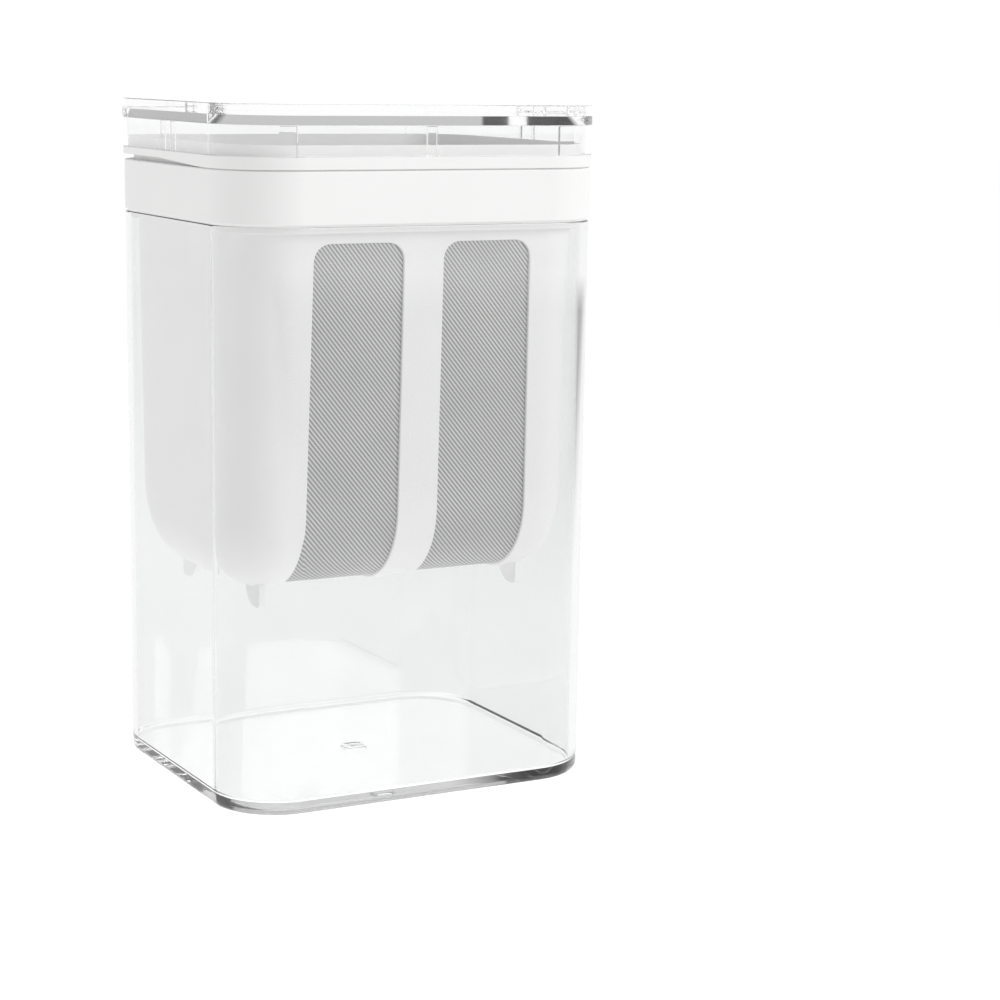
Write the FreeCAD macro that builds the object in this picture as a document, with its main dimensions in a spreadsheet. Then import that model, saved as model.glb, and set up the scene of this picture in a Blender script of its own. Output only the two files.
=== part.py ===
"""Strainer canister for kitchen storage.

A clear container with rounded corners holds a white strainer basket that hangs from its rim.
The basket's two filter strips run down the front, under the trough-shaped bottom and up the back.
A clear lid with a white ring and a silicone gasket plugs into the basket's collar.

Frame: X along the wide side, Y from front to back, Z up, origin under the centre of the base.
Most pieces follow the container's outer plan at the rim, a rounded rectangle. An inset is how far
inside that plan a face lies, in millimetres. It is negative where a face stands proud of the plan.
"""
import FreeCAD, Part
import math
import os
import Sketcher

SHEET = "dims"

DIMENSIONS = [
    # the container
    ("half_width", 60.0, "half the container's outer width at the rim"),
    ("half_depth", 52.0, "half the container's outer depth at the rim"),
    ("corner", 20.5, "corner radius of the container's outer plan at the rim"),
    ("rim_height", 168.8, "height of the container's rim"),
    ("base_inset", 0.45, "inset of the plan at the base"),
    ("container_draft", 0.153, "draft of the container's walls, in degrees"),
    ("wall_inset", 2.3, "wall thickness at the rim"),
    ("floor_thickness", 3.3, "thickness of the container's floor"),
    ("base_edge", 2.0, "radius of the base's outer edge"),
    ("floor_edge", 1.5, "radius where the floor meets the wall inside"),
    ("rim_edge", 0.5, "radius of the rim's outer edge"),
    ("gate_radius", 4.0, "radius of the moulding gate's dimple under the base"),
    ("gate_depth", 0.5, "depth of that dimple"),
    # the basket
    ("basket_inset", 5.5, "inset of the basket's end walls, and of its long walls at the top"),
    ("basket_foot_depth", 42.3, "half depth where the long walls would meet the bottom"),
    ("basket_bottom", 61.5, "height of the underside of the basket's bottom"),
    ("trough_radius", 25.0, "radius where the long walls turn under"),
    ("end_radius", 15.0, "radius along the edge of each end wall"),
    ("basket_wall", 1.8, "thickness of the basket's wall"),
    ("spigot_inset", 2.7, "inset of the spigot that centres the basket in the rim"),
    ("spigot_bottom", 166.8, "height of the spigot's lower edge"),
    ("spigot_root", 6.4, "inset inside the basket's wall where the spigot grows from"),
    ("seat_inset", 1.0, "inset where the collar starts to rest on the rim"),
    ("collar_bottom", 169.4, "height of the collar's visible lower edge"),
    ("ledge_top", 170.9, "height of the ledge inside the collar"),
    ("collar_inset", -0.15, "inset of the collar's outer face"),
    ("collar_inner_inset", 2.1, "inset of the collar's inner face"),
    ("collar_top", 184.3, "height of the collar's top"),
    ("collar_edge", 0.4, "radius of the collar's top edge"),
    # the windows in the long walls and the filter strips that fill them
    ("window_rib", 6.4, "half the width of the rib between the windows"),
    ("window_reach", 34.5, "distance from the centre to a window's outer edge at its top"),
    ("window_low_reach", 36.0, "the same distance under the basket"),
    ("window_top", 163.7, "height of the windows' top edge"),
    ("window_low", 54.0, "height under the basket where the windows' outline closes"),
    ("window_corner", 5.0, "radius of the windows' top corners"),
    ("filter_outer", 0.7, "depth of a filter strip's outer face in the wall"),
    ("filter_inner", 1.2, "depth of a filter strip's inner face in the wall"),
    # the basket's feet
    ("foot_reach", 43.8, "distance from the centre to a foot's middle"),
    ("foot_thickness", 2.0, "thickness of a foot"),
    ("foot_bottom", 56.5, "height of a foot's lowest face"),
    ("foot_root", 64.0, "height inside the basket's bottom where a foot grows from"),
    ("foot_outer", 28.0, "distance from the middle to a foot's upright edge"),
    ("foot_inner", 17.5, "distance from the middle to a foot's inner end"),
    ("foot_outer_radius", 2.5, "radius under a foot's upright edge"),
    ("foot_inner_radius", 6.0, "radius under a foot's inner end"),
    # the lid's white ring
    ("plug_bottom", 177.6, "height of the plug's lower edge"),
    ("plug_inset", 2.7, "inset of the plug's outer face"),
    ("ring_inner_inset", 4.3, "inset of the ring's inner face"),
    ("ring_seat_inset", 0.6, "inset where the ring starts to rest on the collar"),
    ("ring_bottom", 184.6, "height of the ring's visible lower edge"),
    ("ring_inset", -0.5, "inset of the ring's outer face"),
    ("ring_top", 188.2, "height of the ring's shoulder, under the clear skirt"),
    ("ring_edge", 0.3, "radius of the ring's outer edges"),
    ("upstand_inset", 2.5, "inset of the upstand's outer face"),
    ("upstand_top", 191.3, "height of the upstand"),
    ("groove_bottom", 179.2, "height of the lower side of the gasket's groove"),
    ("groove_top", 182.2, "height of the upper side of the gasket's groove"),
    ("groove_inset", 3.5, "inset of the groove's floor"),
    ("notch_top", 185.9, "height of the lifting notch's ceiling"),
    ("notch_floor", 184.0, "height below the ring where the notch's cut ends"),
    ("notch_side", 6.0, "Y of the end of the notch on the left side"),
    ("notch_side_ramp", 24.0, "distance in front of the middle where the left ramp starts"),
    ("notch_back", 26.0, "distance left of the middle where the notch ends at the back"),
    ("notch_back_ramp", 6.0, "distance left of the middle where the back ramp starts"),
    # the gasket
    ("lip_bottom", 180.3, "height of the lower side of the gasket's lip"),
    ("lip_top", 181.1, "height of the upper side of the gasket's lip"),
    ("lip_inset", 2.4, "inset of the lip's edge"),
    # the clear cover
    ("cover_inset", -0.7, "inset of the cover's outer face"),
    ("skirt_inner_inset", 1.2, "inset of the skirt's inner face"),
    ("cover_top", 202.6, "height of the cover's top"),
    ("cover_plate", 199.4, "height of the underside of the cover's plate"),
    ("cover_haunch", 2.6, "size of the bevel between the plate and the skirt"),
    ("cover_edge", 0.35, "radius of the cover's top edge"),
    ("stay_top", 196.6, "height under the bevel where the skirt's inner stays end"),
    ("stay_inset", 2.4, "inset of the stays' inner faces"),
    ("stay_root", 0.5, "inset inside the skirt's wall where the stays grow from"),
    ("stay_reach", 44.0, "distance from the centre to the outer stays of a long side"),
    ("stay_half", 2.6, "half the width of those stays"),
    ("middle_stay_half", 1.5, "half the width of the middle stay of a long side"),
    ("end_stay_reach", 4.0, "distance from the middle to the stays of a short side"),
    ("end_stay_half", 0.8, "half the width of those stays"),
    # shared
    ("outside", 80.0, "a distance past every face, for cuts that run out of the piece"),
]

SIZE = {alias: value for alias, value, _ in DIMENSIONS}
TOUCH = 0.02    # how near two numbers are when they name the same plane, mm


def cell(alias):
    """The expression that reads one of the sheet's values."""
    return f"{SHEET}.{alias}"


def split(term):
    """The sign and the alias of a term such as "corner" or "-corner"."""
    return (-1, term[1:]) if term.startswith("-") else (1, term)


def number(*terms):
    """The sum of some terms, as a number."""
    return sum(sign * SIZE[alias] for sign, alias in map(split, terms))


def formula(*terms):
    """The sum of some terms, as an expression on the sheet."""
    pieces = [f"({sign}) * {cell(alias)}" for sign, alias in map(split, terms)]
    return " + ".join(pieces)


def signed(side, *terms):
    """The same terms on one side of the middle: as they are for 1, mirrored for -1."""
    return tuple(terms) if side > 0 else tuple(f"-{term}".replace("--", "") for term in terms)


def make_sheet(doc):
    """The driving dimensions, one alias to a row."""
    sheet = doc.addObject("Spreadsheet::Sheet", SHEET)
    for row, (alias, value, meaning) in enumerate(DIMENSIONS, start=1):
        sheet.set(f"A{row}", meaning)
        sheet.set(f"B{row}", str(value))
        sheet.setAlias(f"B{row}", alias)
    doc.recompute()


def make_body(doc, label):
    body = doc.addObject("PartDesign::Body", label)
    body.Label = label
    return body


def origin_plane(body, role):
    return next(item for item in body.Origin.OriginFeatures if item.Role == role)


def make_sketch(body, name, role, offset=None):
    """A sketch on one of the body's origin planes, moved along its normal by some terms."""
    sketch = body.newObject("Sketcher::SketchObject", name)
    sketch.AttachmentSupport = [(origin_plane(body, role), "")]
    sketch.MapMode = "FlatFace"
    if offset:
        sketch.AttachmentOffset.Base = FreeCAD.Vector(0, 0, number(*offset))
        sketch.setExpression("AttachmentOffset.Base.z", formula(*offset))
    return sketch


def bind(sketch, kind, geometry, terms):
    """Add a dimension to a sketch and bind it to the sheet."""
    constraint = Sketcher.Constraint(kind, *geometry, number(*terms))
    index = sketch.addConstraint(constraint)
    name = f"size_{index}"
    sketch.renameConstraint(index, name)
    sketch.setExpression(f"Constraints.{name}", formula(*terms))


def pin_point(sketch, geometry, vertex, corner):
    """Fix a point of a sketch at a corner, given as terms for its x and its y."""
    bind(sketch, "DistanceX", (-1, 1, geometry, vertex), corner[0])
    bind(sketch, "DistanceY", (-1, 1, geometry, vertex), corner[1])


def round_corner(before, corner, after, radius):
    """The arc that rounds a corner, where it starts and ends, and whether it turns left."""
    to_before = (before - corner).normalize()
    to_after = (after - corner).normalize()
    half_angle = to_before.getAngle(to_after) / 2
    reach = radius / math.tan(half_angle)
    start = corner + to_before * reach
    end = corner + to_after * reach
    centre = corner + (to_before + to_after).normalize() * (radius / math.sin(half_angle))
    turns_left = (corner - before).cross(after - corner).z > 0
    first, last = (start, end) if turns_left else (end, start)
    angles = [math.atan2(spot.y - centre.y, spot.x - centre.x) for spot in (first, last)]
    if angles[1] < angles[0]:
        angles[1] += 2 * math.pi
    circle = Part.Circle(centre, FreeCAD.Vector(0, 0, 1), radius)
    return Part.ArcOfCircle(circle, *angles), start, end, turns_left


def draw_outline(sketch, corners):
    """A closed outline of straight edges with sharp or rounded corners, bound to the sheet.

    Each corner is (x, y, radius): terms for x and y, and terms for the radius or None.
    """
    spots = [FreeCAD.Vector(number(*x), number(*y), 0) for x, y, _ in corners]
    count = len(corners)
    rounds = {}
    for index, (_, _, radius) in enumerate(corners):
        if radius:
            neighbours = spots[index - 1], spots[index], spots[(index + 1) % count]
            rounds[index] = round_corner(*neighbours, number(*radius))
    edges = []
    for index in range(count):
        following = (index + 1) % count
        start = rounds[index][2] if index in rounds else spots[index]
        end = rounds[following][1] if following in rounds else spots[following]
        edges.append(sketch.addGeometry(Part.LineSegment(start, end), False))
    for index, (x, y, radius) in enumerate(corners):
        arriving, leaving = edges[index - 1], edges[index]
        if index not in rounds:
            sketch.addConstraint(Sketcher.Constraint("Coincident", arriving, 2, leaving, 1))
            pin_point(sketch, leaving, 1, (x, y))
            continue
        arc, _, _, turns_left = rounds[index]
        bend = sketch.addGeometry(arc, False)
        near, far = (1, 2) if turns_left else (2, 1)
        sketch.addConstraint(Sketcher.Constraint("Tangent", arriving, 2, bend, near))
        sketch.addConstraint(Sketcher.Constraint("Tangent", bend, far, leaving, 1))
        mark = sketch.addGeometry(Part.Point(spots[index]), True)
        sketch.addConstraint(Sketcher.Constraint("PointOnObject", mark, 1, arriving))
        sketch.addConstraint(Sketcher.Constraint("PointOnObject", mark, 1, leaving))
        pin_point(sketch, mark, 1, (x, y))
        bind(sketch, "Radius", (bend,), radius)


def draw_plan(sketch, inset):
    """The container's rounded rectangular plan, brought in by an inset."""
    radius = ("corner", f"-{inset}")
    right, left = ("half_width", f"-{inset}"), ("-half_width", inset)
    back, front = ("half_depth", f"-{inset}"), ("-half_depth", inset)
    draw_outline(sketch, [(left, front, radius), (right, front, radius),
                          (right, back, radius), (left, back, radius)])


def draw_box(sketch, low_x, high_x, low_y, high_y):
    """A sharp rectangle between terms for its sides."""
    draw_outline(sketch, [(low_x, low_y, None), (high_x, low_y, None),
                          (high_x, high_y, None), (low_x, high_y, None)])


def draw_trough(sketch, depth=None):
    """The basket's section: long walls that lean in and turn under into a flat bottom.

    depth is how far inside the basket's outer face the section lies, or nothing.
    """
    inward = (depth,) if depth else ()
    outward = (f"-{depth}",) if depth else ()
    radius = ("trough_radius", *outward)
    top, bottom = ("ledge_top",), ("basket_bottom", *inward)
    reach, foot = ("half_depth", "-basket_inset", *outward), ("basket_foot_depth", *outward)
    draw_outline(sketch, [(signed(-1, *foot), bottom, radius), (foot, bottom, radius),
                          (reach, top, None), (signed(-1, *reach), top, None)])


def draw_window(sketch):
    """The right-hand window: rounded at the top, a little wider lower down, open underneath."""
    top, low = ("window_top",), ("window_low",)
    rib, radius = ("window_rib",), ("window_corner",)
    draw_outline(sketch, [(rib, low, None), (("window_low_reach",), low, None),
                          (("window_reach",), top, radius), (rib, top, radius)])


def add_pad(body, sketch, name, length, midplane=False):
    pad = body.newObject("PartDesign::Pad", name)
    pad.Profile = sketch
    pad.Midplane = midplane
    pad.setExpression("Length", formula(*length))
    return pad


def add_pocket(body, sketch, name, length=None, upwards=False):
    """A cut against the sketch's normal, or right through both ways where it has no length."""
    pocket = body.newObject("PartDesign::Pocket", name)
    pocket.Profile = sketch
    pocket.Reversed = upwards
    if length:
        pocket.setExpression("Length", formula(*length))
    else:
        pocket.Type = "ThroughAll"
        pocket.Midplane = True
    return pocket


def add_band(body, name, bottom, top, outer, inner):
    """A ring that follows the plan, between two heights and two insets."""
    sketch = make_sketch(body, f"{name}_plan", "XY_Plane", (bottom,))
    draw_plan(sketch, outer)
    draw_plan(sketch, inner)
    return add_pad(body, sketch, name, (top, f"-{bottom}"))


def dress(body, kind, base, wanted, size, name):
    """A fillet or chamfer on those edges of a feature for which wanted(edge) holds."""
    names = [f"Edge{n}" for n, edge in enumerate(base.Shape.Edges, start=1) if wanted(edge)]
    if not names:
        raise RuntimeError(f"{name}: no edge to dress")
    dressing = body.newObject(f"PartDesign::{kind}", name)
    dressing.Base = (base, names)
    dressing.setExpression("Radius" if kind == "Fillet" else "Size", cell(size))
    return dressing


def lies_at(edge, height):
    """Whether an edge lies in the level plane at a height."""
    box = edge.BoundBox
    return abs(box.ZMin - height) < TOUCH and abs(box.ZMax - height) < TOUCH


def on_plan(edge, height, inset):
    """Whether an edge lies at a height on the plan brought in by an inset."""
    if not lies_at(edge, height):
        return False
    radius = SIZE["corner"] - SIZE[inset]
    core_x = SIZE["half_width"] - SIZE[inset] - radius
    core_y = SIZE["half_depth"] - SIZE[inset] - radius
    middle = edge.valueAt((edge.FirstParameter + edge.LastParameter) / 2)
    beyond = math.hypot(max(abs(middle.x) - core_x, 0), max(abs(middle.y) - core_y, 0))
    return abs(beyond - radius) < TOUCH


def mirror(body, feature, role, name):
    """Repeat a feature across one of the body's origin planes."""
    mirrored = body.newObject("PartDesign::Mirrored", name)
    mirrored.Originals = [feature]
    mirrored.MirrorPlane = (origin_plane(body, role), [""])
    body.Tip = mirrored
    return mirrored


def make_container(doc):
    """The clear container: a tapered tub with a rounded base and a plain rim."""
    body = make_body(doc, "container")
    outline = make_sketch(body, "base_plan", "XY_Plane")
    draw_plan(outline, "base_inset")
    block = add_pad(body, outline, "block", ("rim_height",))
    block.setExpression("TaperAngle", cell("container_draft"))
    doc.recompute()
    base = dress(body, "Fillet", block, lambda edge: lies_at(edge, 0.0), "base_edge", "base_round")
    doc.recompute()
    dress(body, "Fillet", base, lambda edge: lies_at(edge, SIZE["rim_height"]),
          "rim_edge", "rim_round")
    mouth = make_sketch(body, "mouth_plan", "XY_Plane", ("rim_height",))
    draw_plan(mouth, "wall_inset")
    hollow = add_pocket(body, mouth, "hollow", ("rim_height", "-floor_thickness"))
    hollow.setExpression("TaperAngle", f"-{cell('container_draft')}")
    doc.recompute()
    floor = SIZE["floor_thickness"]
    dress(body, "Fillet", hollow, lambda edge: lies_at(edge, floor), "floor_edge", "floor_round")
    dimple = make_sketch(body, "gate_circle", "XY_Plane")
    middle = Part.Circle(FreeCAD.Vector(0, 0, 0), FreeCAD.Vector(0, 0, 1), SIZE["gate_radius"])
    dimple.addGeometry(middle, False)
    dimple.addConstraint(Sketcher.Constraint("Coincident", 0, 3, -1, 1))
    bind(dimple, "Radius", (0,), ("gate_radius",))
    add_pocket(body, dimple, "gate_dimple", ("gate_depth",), upwards=True)
    return body


def make_basket_frame(doc):
    """The white basket: a trough with two windows, hung from a collar, on four small feet."""
    body = make_body(doc, "basket_frame")
    section = make_sketch(body, "trough_section", "YZ_Plane")
    draw_trough(section)
    width = ("half_width", "half_width", "-basket_inset", "-basket_inset")
    block = add_pad(body, section, "trough_block", width, midplane=True)
    doc.recompute()
    end = number("half_width", "-basket_inset")
    top = SIZE["ledge_top"]

    def on_end(edge):
        box = edge.BoundBox
        flat = box.XLength < TOUCH and abs(abs(box.XMin) - end) < TOUCH
        return flat and not lies_at(edge, top)

    rounded = dress(body, "Fillet", block, on_end, "end_radius", "end_round")
    doc.recompute()
    faces = enumerate(rounded.Shape.Faces, start=1)
    mouth = [f"Face{n}" for n, face in faces if abs(face.BoundBox.ZMin - top) < TOUCH]
    shell = body.newObject("PartDesign::Thickness", "shell")
    shell.Base = (rounded, mouth)
    shell.Reversed = True
    shell.Join = 0
    shell.setExpression("Value", cell("basket_wall"))
    doc.recompute()
    add_band(body, "spigot", "spigot_bottom", "rim_height", "spigot_inset", "spigot_root")
    add_band(body, "seat", "rim_height", "collar_bottom", "seat_inset", "spigot_root")
    add_band(body, "ledge", "collar_bottom", "ledge_top", "collar_inset", "spigot_root")
    collar = add_band(body, "collar", "ledge_top", "collar_top", "collar_inset",
                      "collar_inner_inset")
    doc.recompute()
    dress(body, "Fillet", collar,
          lambda edge: on_plan(edge, SIZE["collar_top"], "collar_inset"),
          "collar_edge", "collar_round")
    window = make_sketch(body, "window_outline", "XZ_Plane")
    draw_window(window)
    opening = add_pocket(body, window, "window")
    mirror(body, opening, "YZ_Plane", "other_window")
    doc.recompute()
    side = make_sketch(body, "foot_outline", "YZ_Plane", ("foot_reach",))
    for end_of_trough in (-1, 1):
        outer = signed(end_of_trough, "foot_outer")
        inner = signed(end_of_trough, "foot_inner")
        draw_outline(side, [(outer, ("foot_bottom",), ("foot_outer_radius",)),
                            (outer, ("foot_root",), None), (inner, ("foot_root",), None),
                            (inner, ("foot_bottom",), ("foot_inner_radius",))])
    foot = add_pad(body, side, "feet", ("foot_thickness",), midplane=True)
    mirror(body, foot, "YZ_Plane", "other_feet")
    return body


def make_filter_strips(doc):
    """Two strips of filter cloth that fill the windows inside the thickness of the wall."""
    right = make_body(doc, "filter_strip_right")
    outer = make_sketch(right, "outer_section", "YZ_Plane")
    draw_trough(outer, "filter_outer")
    add_pad(right, outer, "cloth_block", ("half_width", "half_width"), midplane=True)
    inner = make_sketch(right, "inner_section", "YZ_Plane")
    draw_trough(inner, "filter_inner")
    add_pocket(right, inner, "inside")
    surround = make_sketch(right, "surround", "XZ_Plane")
    draw_window(surround)
    far = ("outside", "outside", "outside")
    draw_box(surround, ("-outside",), ("outside",), ("-outside",), far)
    add_pocket(right, surround, "trim")
    left = doc.addObject("Part::Mirroring", "filter_strip_left")
    left.Label = "filter_strip_left"
    left.Source = right
    left.Normal = FreeCAD.Vector(1, 0, 0)
    return [left, right]


def make_lid_ring(doc):
    """The lid's white ring: a plug with a gasket groove, a shoulder and a lifting notch."""
    body = make_body(doc, "lid_ring")
    add_band(body, "plug", "plug_bottom", "collar_top", "plug_inset", "ring_inner_inset")
    add_band(body, "seat", "collar_top", "ring_bottom", "ring_seat_inset", "ring_inner_inset")
    shoulder = add_band(body, "shoulder", "ring_bottom", "ring_top", "ring_inset",
                        "ring_inner_inset")
    doc.recompute()

    def shoulder_edge(edge):
        return any(on_plan(edge, SIZE[level], "ring_inset") for level in ("ring_bottom", "ring_top"))

    dress(body, "Fillet", shoulder, shoulder_edge, "ring_edge", "shoulder_round")
    add_band(body, "upstand", "ring_top", "upstand_top", "upstand_inset", "ring_inner_inset")
    groove = make_sketch(body, "groove_plan", "XY_Plane", ("groove_top",))
    draw_plan(groove, "plug_inset")
    draw_plan(groove, "groove_inset")
    add_pocket(body, groove, "groove", ("groove_top", "-groove_bottom"))
    side, back = ("-half_width", "plug_inset"), ("half_depth", "-plug_inset")
    corner = make_sketch(body, "notch_plan", "XY_Plane", ("notch_top",))
    radius = ("corner", "-plug_inset")
    draw_outline(corner, [(("-outside",), ("notch_side",), None), (side, ("notch_side",), None),
                          (side, back, radius), (("-notch_back",), back, None),
                          (("-notch_back",), ("outside",), None),
                          (("-outside",), ("outside",), None)])
    add_pocket(body, corner, "notch", ("notch_top", "-notch_floor"))
    low, high, level = ("notch_floor",), ("notch_top",), ("ring_bottom",)
    ramp = make_sketch(body, "side_ramp_outline", "YZ_Plane", side)
    draw_outline(ramp, [(("-notch_side_ramp",), low, None), (("notch_side",), low, None),
                        (("notch_side",), high, None), (("-notch_side_ramp",), level, None)])
    add_pocket(body, ramp, "side_ramp", ("outside",))
    ramp = make_sketch(body, "back_ramp_outline", "XZ_Plane", signed(-1, *back))
    draw_outline(ramp, [(("-notch_back",), low, None), (("-notch_back_ramp",), low, None),
                        (("-notch_back_ramp",), level, None), (("-notch_back",), high, None)])
    add_pocket(body, ramp, "back_ramp", ("outside",))
    return body


def make_gasket(doc):
    """The silicone gasket that fills the plug's groove, with one lip that stands out of it."""
    body = make_body(doc, "lid_gasket")
    add_band(body, "seal", "groove_bottom", "groove_top", "plug_inset", "groove_inset")
    add_band(body, "lip", "lip_bottom", "lip_top", "lip_inset", "groove_inset")
    return body


def make_cover(doc):
    """The clear cover: a thick plate with a skirt, a bevel between them and inner stays."""
    body = make_body(doc, "lid_cover")
    outline = make_sketch(body, "cover_plan", "XY_Plane", ("ring_top",))
    draw_plan(outline, "cover_inset")
    block = add_pad(body, outline, "block", ("cover_top", "-ring_top"))
    doc.recompute()
    dress(body, "Fillet", block, lambda edge: lies_at(edge, SIZE["cover_top"]),
          "cover_edge", "top_round")
    inside = make_sketch(body, "skirt_plan", "XY_Plane", ("ring_top",))
    draw_plan(inside, "skirt_inner_inset")
    hollow = add_pocket(body, inside, "hollow", ("cover_plate", "-ring_top"), upwards=True)
    doc.recompute()
    plate = SIZE["cover_plate"]
    dress(body, "Chamfer", hollow, lambda edge: lies_at(edge, plate), "cover_haunch", "haunch")
    stays = make_sketch(body, "stay_plan", "XY_Plane", ("ring_top",))
    long_stays = [(("-stay_reach",), "stay_half"), ((), "middle_stay_half"),
                  (("stay_reach",), "stay_half")]
    for side in (-1, 1):
        near = signed(side, "half_depth", "-stay_inset")
        far = signed(side, "half_depth", "-stay_root")
        for middle, half in long_stays:
            draw_box(stays, (*middle, f"-{half}"), (*middle, half), near, far)
        near = signed(side, "half_width", "-stay_inset")
        far = signed(side, "half_width", "-stay_root")
        for end in (-1, 1):
            middle = signed(end, "end_stay_reach")
            draw_box(stays, near, far, (*middle, "-end_stay_half"), (*middle, "end_stay_half"))
    add_pad(body, stays, "stays", ("stay_top", "-ring_top"))
    return body


def check_and_write(doc, pieces):
    """Stop at a failed object or a bad shape, then write one STEP file for each piece."""
    doc.recompute()
    for item in doc.Objects:
        if {"Invalid", "Error"} & set(item.State):
            raise RuntimeError(f"{item.Name} failed: {item.State}")
    os.makedirs("parts", exist_ok=True)
    for piece in pieces:
        shape = piece.Shape
        if shape.isNull() or not shape.isValid():
            raise RuntimeError(f"{piece.Label} has no valid shape")
        box = shape.BoundBox
        print(f"{piece.Label}: {len(shape.Solids)} solid, {shape.Volume / 1000:.2f} cm3, "
              f"x {box.XMin:.2f} {box.XMax:.2f}, y {box.YMin:.2f} {box.YMax:.2f}, "
              f"z {box.ZMin:.2f} {box.ZMax:.2f}")
        shape.exportStep(f"parts/{piece.Label}.step")


def main():
    doc = FreeCAD.newDocument("strainer_canister")
    make_sheet(doc)
    pieces = [make_container(doc), make_basket_frame(doc), *make_filter_strips(doc),
              make_cover(doc), make_lid_ring(doc), make_gasket(doc)]
    check_and_write(doc, pieces)


main()
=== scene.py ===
"""Looks of the strainer canister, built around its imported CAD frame. Metres, Z up."""
import math

import bmesh
import bpy
from mathutils import Matrix, Vector


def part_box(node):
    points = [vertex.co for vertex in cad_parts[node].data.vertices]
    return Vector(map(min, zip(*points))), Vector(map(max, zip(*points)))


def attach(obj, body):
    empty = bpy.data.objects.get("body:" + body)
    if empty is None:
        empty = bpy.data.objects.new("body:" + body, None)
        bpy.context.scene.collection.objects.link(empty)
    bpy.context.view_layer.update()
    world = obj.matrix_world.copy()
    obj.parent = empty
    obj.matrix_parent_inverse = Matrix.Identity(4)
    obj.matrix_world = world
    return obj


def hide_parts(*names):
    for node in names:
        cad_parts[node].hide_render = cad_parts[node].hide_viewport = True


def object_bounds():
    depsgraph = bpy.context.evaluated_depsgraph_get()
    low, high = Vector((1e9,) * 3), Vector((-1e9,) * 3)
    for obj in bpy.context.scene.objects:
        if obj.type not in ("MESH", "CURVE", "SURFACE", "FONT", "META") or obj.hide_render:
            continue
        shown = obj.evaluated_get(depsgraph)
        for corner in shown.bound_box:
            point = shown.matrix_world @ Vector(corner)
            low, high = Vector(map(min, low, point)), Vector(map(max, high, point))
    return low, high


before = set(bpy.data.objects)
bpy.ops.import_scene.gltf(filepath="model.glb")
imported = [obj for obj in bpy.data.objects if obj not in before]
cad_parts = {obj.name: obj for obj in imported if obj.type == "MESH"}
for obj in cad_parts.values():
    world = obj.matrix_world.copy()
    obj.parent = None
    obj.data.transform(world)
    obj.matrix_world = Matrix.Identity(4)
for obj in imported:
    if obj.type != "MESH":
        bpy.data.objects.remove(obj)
cad_low, cad_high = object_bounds()

MM = 0.001
SMOOTH_ANGLE = math.radians(32)    # sharper edges than this stay crisp

# Every size from here to the camera is in millimetres. An inset is how far inside the container's
# rim plan a face lies, negative where it stands proud of it. A height is over the table.
COVER_INSET = -0.7
HALF_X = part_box("lid_cover")[1].x / MM + COVER_INSET
HALF_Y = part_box("lid_cover")[1].y / MM + COVER_INSET
CORNER = 20.5        # radius of the plan's corners
CORNER_STEPS = 40    # edges round each corner of the plan
EDGE_STEPS = 5       # edges round each softened edge
SLAB_EDGE = 0.2      # how much of a welded block's edges is bevelled off

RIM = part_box("container")[1].z / MM
WALL = 2.3           # thickness at the rim
BASE_INSET = 0.45    # the outer walls lean in by this at the base
FLOOR = 3.3          # height of the floor inside
FLOOR_INSET = 2.74   # where the inner walls meet it
GATE = 4.0           # radius of the gate dimple under the floor
GATE_DEPTH = 0.5
GATE_MARK = 0.1      # how far the gate's mark stands up inside

SKIRT_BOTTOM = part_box("lid_cover")[0].z / MM
COVER_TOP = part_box("lid_cover")[1].z / MM
PLATE = 3.2          # thickness of the lid's top
SKIRT_INNER = 1.2    # inset of the skirt's inner face
HAUNCH = 2.6         # size of the bevel between plate and skirt

# the short stays inside the skirt
STAYS_LONG = ((-44, 2.6), (0, 1.5), (44, 2.6))    # (x, half width), in front and at the back
STAYS_SHORT = (-4, 4)    # y of the two at each end
STAY_HALF = 0.8          # their half width
STAY_THICK = 0.95        # half the thickness of every stay
STAY_INSET = 1.45
STAY_TOP = 196.6

COLLAR_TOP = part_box("basket_frame")[1].z / MM
COLLAR_INSET = -0.15
COLLAR_INNER = 2.1
COLLAR_BOTTOM = 169.4
COLLAR_SEAT = 1.0    # inset of the face that lies on the container's rim
LEDGE = 170.9        # height of the floor round the trough's mouth
LEDGE_INSET = 6.4    # where it meets the trough
SPIGOT_INSET = 2.7
SPIGOT_BOTTOM = 166.8
MOUTH = 171.2        # the trough's mouth stands as a bead above the ledge
MOUTH_BEAD = 0.4     # and its rounding adds this

BASKET_INSET = 5.5
BASKET_WALL = 1.8
BASKET_BOTTOM = 61.5
TROUGH_FOOT = 42.3   # half depth where the long walls would meet the bottom
TROUGH_RADIUS = 25.0
END_RADIUS = 15.0    # where the long walls turn into the end walls
END_STEPS = 12
ROWS_ABOVE, ROWS_WALL, ROWS_TURN, ROWS_FLAT = 2.5, 5.0, 1.6, 4.0    # spacing of the skin's rows

WINDOW_RIB = 6.4     # half width of the rib between the windows
WINDOW_TOP = 163.7
WINDOW_REACH = 34.5  # x of the outer edge, at the top
WINDOW_SPREAD = 1.5 / 109.7    # how fast the outer edge moves out on the way down
WINDOW_CORNER = 5.0
WINDOW_EDGE = 0.35   # radius of its softened edges
WINDOW_STEPS = 8     # rows and columns in each of its rounded corners
WINDOW_MIDDLE = 5    # columns between them

MESH_DEPTH = 0.95    # of the cloth's middle, inside the frame's skin
MESH_HALF = 0.10     # half its thickness
TWILL_RELIEF = 0.10
TWILL_X = 0.43       # pitch of the wires that run down
TWILL_S = 0.52       # pitch of the wires that run across
TWILL_REPEAT = 3     # wires to each slanted rib
MESH_MARGIN = 1.2    # how far the cloth runs on inside the frame's wall

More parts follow.
